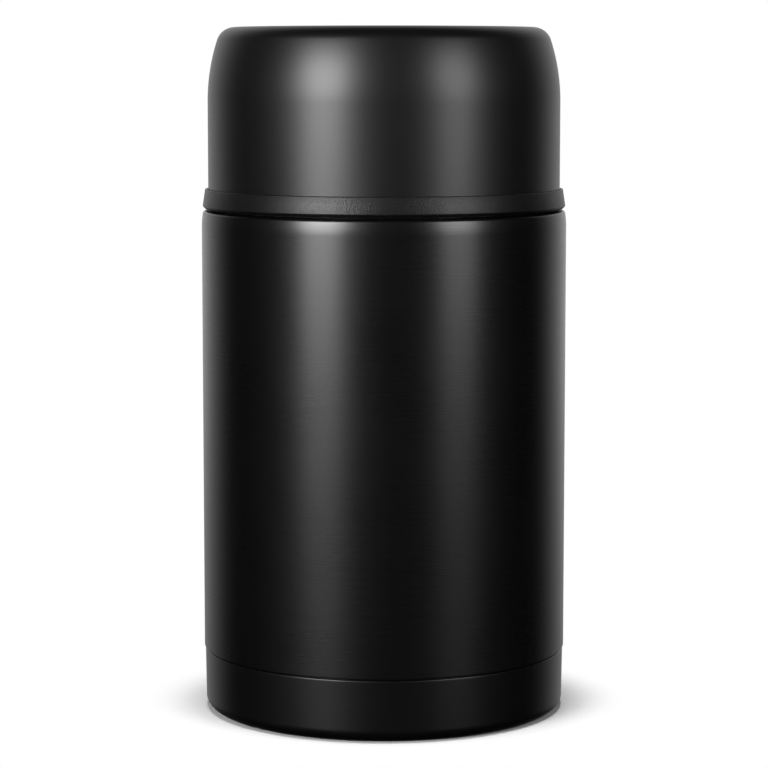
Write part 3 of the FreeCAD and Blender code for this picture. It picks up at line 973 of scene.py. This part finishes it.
@dataclass
class Stopper:
    """The screw stopper with its grip bar and the well for the vent button."""

    plug_radius: float = 42.2 * MM
    plug_bore: float = 40.2 * MM
    plug_foot: float = 149.5 * MM
    flange_radius: float = 45.8 * MM
    flange_foot: float = 169.7 * MM
    flange_top: float = 172.7 * MM
    dish_radius: float = 38.2 * MM
    dish_floor: float = 167.7 * MM
    top_under: float = 165.7 * MM
    boss_top: float = 175.2 * MM
    boss_radius: float = 14.3 * MM
    well_radius: float = 11.8 * MM
    well_floor: float = 165.0 * MM
    well_wall: float = 2.0 * MM
    edge_round: float = 0.5 * MM
    lug_foot: float = 155.1 * MM
    grip_length: float = 75.0 * MM
    grip_width: float = 24.0 * MM
    grip_round: float = 1.0 * MM
    cut_depth: float = 30.0 * MM  # of the cylinder that opens the bar over the well
    cut_margin: float = 0.4 * MM  # and how far its wall is inside the boss's
    body: str = "stopper"

    def plug(self) -> None:
        """The moulded plug with its flange, dished top, boss and lugs."""
        outline = [(0.0, self.well_floor), (self.well_radius, self.well_floor)]
        outline += [(self.well_radius, self.boss_top), (self.boss_radius, self.boss_top)]
        outline += [(self.boss_radius, self.dish_floor)]
        outline += [(self.dish_radius, self.dish_floor), (self.dish_radius, self.flange_top)]
        outline += [(self.flange_radius, self.flange_top), (self.flange_radius, self.flange_foot)]
        outline += [(self.plug_radius, self.flange_foot), (self.plug_radius, self.plug_foot)]
        outline += [(self.plug_bore, self.plug_foot), (self.plug_bore, self.top_under)]
        well_foot = self.well_floor - self.well_wall
        outline += [(self.boss_radius, self.top_under), (self.boss_radius, well_foot), (0.0, well_foot)]
        piece = turn_piece("stopper_moulding", outline)
        ease_edges(piece, self.edge_round, segments=4)
        smooth(piece)
        plastic = GrainedPlastic("stopper_plastic", grain_strength=0.3).make()
        finish(piece, self.body, plastic, ["stopper_body", "stopper_plug"])
        lugs = Thread("plug_lugs", self.plug_radius, self.lug_foot, LUG_CLIMB, steps=LUG_STEPS).build()
        finish(lugs, self.body, plastic)
        self._grip(plastic)

    def _grip(self, plastic: bpy.types.Material) -> None:
        """The bar across the dish, cut through by the valve's well.

        Args:
            plastic: The stopper's material.
        """
        height = self.boss_top - self.dish_floor
        clear_selection()
        bpy.ops.mesh.primitive_cube_add(size=1.0, location=(0.0, 0.0, self.dish_floor + height / 2))
        bar = bpy.context.object
        bar.scale = (self.grip_length, self.grip_width, height)
        settle(bar)
        ease_edges(bar, self.grip_round, segments=4)
        bpy.ops.mesh.primitive_cylinder_add(
            vertices=SMALL_RING,
            radius=self.boss_radius - self.cut_margin,
            depth=self.cut_depth,
            location=(0.0, 0.0, self.boss_top),
        )
        cutter = bpy.context.object
        settle(cutter)
        apply_modifier(bar, "BOOLEAN", {"operation": "DIFFERENCE", "object": cutter, "solver": "EXACT"})
        bpy.data.objects.remove(cutter)
        bar.name = "stopper_grip"
        smooth(bar)
        finish(bar, self.body, plastic)

    def build(self) -> None:
        """Builds the stopper and dresses its lid and its seal."""
        self.plug()
        dress_node("stopper_lid", GrainedPlastic("stopper_lid_plastic", grain_strength=0.2).make())
        dress_node("stopper_seal", Silicone("flange_silicone", SEAL_WHITE).make())


# The vent valve


@dataclass
class Valve:
    """The vent button in the stopper's well, and the parts of the valve under it."""

    radius: float = 11.5 * MM
    top: float = 176.4 * MM
    foot: float = 169.0 * MM
    wall: float = 1.4 * MM
    hollow: float = 4.0 * MM  # from the foot up to the underside
    crown: float = 0.35 * MM
    edge: float = 0.9 * MM
    edge_turn: float = 80.0
    crown_rings: tuple[tuple[float, float], ...] = ((0.6, 0.7), (0.3, 0.93))  # shares of radius and of crown
    body: str = "valve"

    def button(self) -> None:
        """The polished button, slightly crowned, that rides in the well."""
        rim = self.top - self.crown
        under = self.foot + self.hollow
        inside = self.radius - self.wall
        outline = [(0.0, under), (inside, under), (inside, self.foot), (self.radius, self.foot)]
        outline += arc((self.radius - self.edge, rim - self.edge), self.edge, 0.0, self.edge_turn, steps=8)
        outline += [(self.radius * share, rim + self.crown * rise) for share, rise in self.crown_rings]
        outline += [(0.0, self.top)]
        piece = turn_piece("button_cap", outline, SMALL_RING)
        smooth(piece)
        gloss = GrainedPlastic("button_plastic", roughness=0.18, grain_strength=0.05).make()
        finish(piece, self.body, gloss, ["valve_button"])

    def build(self) -> None:
        """Builds the button and dresses the stem, disc, washer and spring."""
        self.button()
        dress_node("valve_stem", BareSteel("steel_stem").make())
        dress_node("valve_disc", GrainedPlastic("disc_plastic", grain_strength=0.2).make())
        dress_node("valve_washer", Silicone("washer_silicone", SEAL_WHITE).make())
        dress_node("valve_spring", BareSteel("steel_spring", Brushing.DULL, roughness=0.2).make())


# Studio


@dataclass(frozen=True)
class SoftBox:
    """A soft lamp near the jar.

    Azimuth 0 is in front of the jar, and a positive azimuth is towards +X. At tilt 90 the lamp faces the
    jar's axis at its own height, and at tilt 0 it faces down.
    """

    name: str
    azimuth: float
    distance: float
    height: float
    width: float
    length: float
    watts: float
    tilt: float = 90.0
    mirrored: bool = True  # False keeps it out of reflections
    pool: float = 0.0  # brightness of a painted pool of lamp light on the floor before the lamp, seen only in reflections

    def place(self) -> None:
        """Adds the lamp."""
        angle = math.radians(self.azimuth)
        data = bpy.data.lights.new(self.name, "AREA")
        data.shape = "RECTANGLE"
        data.size = self.width
        data.size_y = self.length
        data.energy = self.watts
        lamp = bpy.data.objects.new(self.name, data)
        lamp.location = (self.distance * math.sin(angle), -self.distance * math.cos(angle), self.height)
        lamp.rotation_euler = (math.radians(self.tilt), 0.0, angle)
        lamp.visible_glossy = self.mirrored
        bpy.context.scene.collection.objects.link(lamp)


@dataclass(frozen=True)
class Studio:
    """White sweep, soft lamps and the camera."""

    floor_size: float = 12.0
    camera_distance: float = 848.1 * MM
    camera_height: float = 196.4 * MM
    camera_tilt: float = 6.59
    photo_width_px: float = 768.0
    focal_px: float = 2804.0
    sensor_mm: float = 36.0
    ambient: float = 0.15
    room: float = 0.006  # the dim room in reflections
    sweep: float = 0.85  # the pale sweep behind the jar in reflections
    sweep_foot: float = 0.42  # the sweep where it nears the jar
    sweep_start: float = 0.34  # how far backwards a reflection must point to reach the sweep
    sweep_full: float = 0.95
    far_slope: float = 0.06  # how steeply reflections fall to the far part of the sweep, and to its foot
    near_slope: float = 0.2
    painted_shade_start: float = 0.22  # reflections that fall more steeply than this end in a painted shade that stands for the jar's own shadow on the floor
    painted_shade_full: float = 0.42
    painted_shade: float = 0.12
    painted_pool_spread: float = 0.93  # how nearly a reflection must point at a lamp to show the painted pool of light on the floor before it
    floor_tone: float = 0.6
    lit_radius: float = 0.054  # the floor shows its shadow inside this, and is plain white past white_radius
    white_radius: float = 0.076
    lamps: tuple[SoftBox, ...] = (
        # the last number of a lamp is the brightness of its painted pool of light on the floor, seen in
        # reflections
        SoftBox("lamp_left", -38.6, 1.2, height=0.41, width=0.48, length=0.67, watts=10.6, pool=0.78),
        SoftBox("lamp_left_high", -38.8, 1.1, height=0.5, width=0.62, length=0.5, watts=7.9),
        SoftBox("lamp_right", 46.2, 1.2, height=0.41, width=0.44, length=0.67, watts=4.5, pool=0.33),
        SoftBox("lamp_right_high", 46.2, 1.1, height=0.5, width=0.52, length=0.5, watts=2.5),
        SoftBox(
            "lamp_top", 0.0, 0.08, height=1.5, width=0.35, length=0.25, watts=30.0, tilt=0.0, mirrored=False
        ),
    )

    def _mirrored_room(self, graph: Graph, depth: Value, sweep: float | Value) -> Value:
        """How bright the room is in a reflection.

        Args:
            graph: The tree that works it out.
            depth: How far backwards the reflection points, from -1 to 1.
            sweep: Brightness of the sweep behind the jar.

        Returns:
            The brightness.
        """
        return graph.remap(depth, self.sweep_start, self.sweep_full, self.room, sweep)

    def _painted_floor_glow(self, graph: Graph) -> Value:
        """How bright the floor glows in a reflection: a painted stand-in for the lit floor, with painted
        shade by the jar and painted pools of the lamps' light on it.

        Args:
            graph: The floor's tree.

        Returns:
            The brightness.
        """
        towards = graph.node("ShaderNodeNewGeometry", {}, {}).outputs["Incoming"]
        depth = 0.0 - graph.along("Y", towards)
        slope = graph.along("Z", towards)
        sweep = graph.remap(slope, self.far_slope, self.near_slope, self.sweep, self.sweep_foot)
        glow = self._mirrored_room(graph, depth, sweep)
        # painted shade: the floor's glow dims where reflections fall steeply towards the jar's foot
        glow = glow * graph.remap(slope, self.painted_shade_start, self.painted_shade_full, 1.0, self.painted_shade)
        # painted pools of light: the floor glows brighter in reflections that point towards a lamp
        for lamp in self.lamps:
            if lamp.pool > 0.0:
                angle = math.radians(lamp.azimuth)
                aim = (-math.sin(angle), math.cos(angle), 0.0)
                nearness = graph.measure("DOT_PRODUCT", {0: towards, 1: aim})
                glow = glow + graph.remap(nearness, self.painted_pool_spread, 1.0, 0.0, lamp.pool)
        return glow

    def floor(self) -> None:
        """The floor: paper with the jar's shadow to the camera, and in reflections a painted glow for the
        dim room's floor, with painted shade and pools of light.
        """
        clear_selection()
        bpy.ops.mesh.primitive_plane_add(size=self.floor_size)
        plane = bpy.context.object
        plane.name = "floor"
        material, graph = new_material("floor_white")
        path = graph.node("ShaderNodeLightPath", {}, {})
        paper = (self.floor_tone, self.floor_tone, self.floor_tone, 1.0)
        lit = graph.node("ShaderNodeBsdfDiffuse", {}, {"Color": paper}).outputs[0]
        away = graph.measure("LENGTH", {0: graph.place()})
        seen = graph.mix(graph.remap(away, self.lit_radius, self.white_radius), lit, graph.glow(1.0))
        # painted reflection: to glossy rays the floor glows instead of showing its lit paper
        mirrored = graph.glow(self._painted_floor_glow(graph))
        other = graph.mix(path.outputs["Is Glossy Ray"], lit, mirrored)
        graph.surface(graph.mix(path.outputs["Is Camera Ray"], other, seen))
        plane.data.materials.append(material)

    def backdrop(self) -> None:
        """The world: white to the camera, with a pale sweep behind the jar and a dim room in reflections."""
        world = bpy.data.worlds.new("studio_room")
        bpy.context.scene.world = world
        graph = Graph(world)
        path = graph.node("ShaderNodeLightPath", {}, {})
        camera = Value(graph, path.outputs["Is Camera Ray"])
        glossy = Value(graph, path.outputs["Is Glossy Ray"])
        direction = graph.node("ShaderNodeTexCoord", {}, {}).outputs["Generated"]
        room = self._mirrored_room(graph, graph.along("Y", direction), self.sweep)
        strength = camera + (1.0 - camera) * (glossy * room + (1.0 - glossy) * self.ambient)
        sockets = {"Color": (1.0, 1.0, 1.0, 1.0), "Strength": strength}
        background = graph.node("ShaderNodeBackground", {}, sockets)
        graph.surface(background.outputs[0], "ShaderNodeOutputWorld")

    def camera(self) -> None:
        """The camera, at the photograph's viewing angle."""
        data = bpy.data.cameras.new("camera")
        data.sensor_width = self.sensor_mm
        data.lens = self.focal_px / self.photo_width_px * self.sensor_mm
        camera = bpy.data.objects.new("camera", data)
        camera.location = (0.0, -self.camera_distance, self.camera_height)
        camera.rotation_euler = (math.radians(90.0 - self.camera_tilt), 0.0, 0.0)
        bpy.context.scene.collection.objects.link(camera)
        bpy.context.scene.camera = camera

    def build(self) -> None:
        """Sets up the whole studio."""
        self.floor()
        self.backdrop()
        for lamp in self.lamps:
            lamp.place()
        self.camera()
        bpy.context.scene.view_settings.view_transform = "Standard"


def main() -> None:
    """Builds the jar and the studio."""
    logging.basicConfig(level=logging.INFO, format="%(message)s")
    Body().build()
    Cup().build()
    Stopper().build()
    Valve().build()
    Studio().build()


if __name__ == "__main__":
    main()
